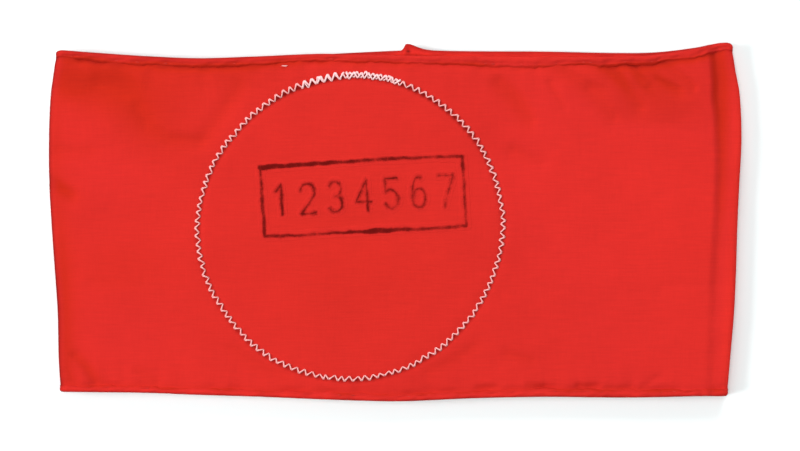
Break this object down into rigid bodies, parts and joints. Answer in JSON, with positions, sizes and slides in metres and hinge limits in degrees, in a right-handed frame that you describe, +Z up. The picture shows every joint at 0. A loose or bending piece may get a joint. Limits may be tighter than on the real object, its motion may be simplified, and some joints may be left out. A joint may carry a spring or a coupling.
{
  "type": "armband",
  "caption": "Red cotton armband lying flat: a hemmed cloth loop with a seam at the back, a pressed crease beside one fold, a zigzag stitched ring and a faded stamped frame.",
  "frame": {"origin": "middle of the bounding box on the plane it lies on, under the back layer", "axes": "+X runs from the left fold to the right fold, +Y from the lower hem to the upper hem along the arm opening, +Z up from the table through the front layer"},
  "size_m": [0.2076, 0.1074, 0.0074],
  "materials": {
    "red_cotton": "plain-woven matt cotton with fine slubs",
    "hem_cotton": "the same cotton, turned twice and stitched",
    "seam_cotton": "the same cotton, seamed and pressed flat",
    "ring_thread": "off-white sewing thread in a zigzag stitch",
    "sewing_thread": "dark red sewing thread",
    "stamp_ink": "faded dark stamping ink soaked into the cloth"
  },
  "bodies": {
    "root": {"band": "red_cotton", "upper_hem": "hem_cotton", "lower_hem": "hem_cotton", "back_seam": "seam_cotton"}
  },
  "joints": []
}
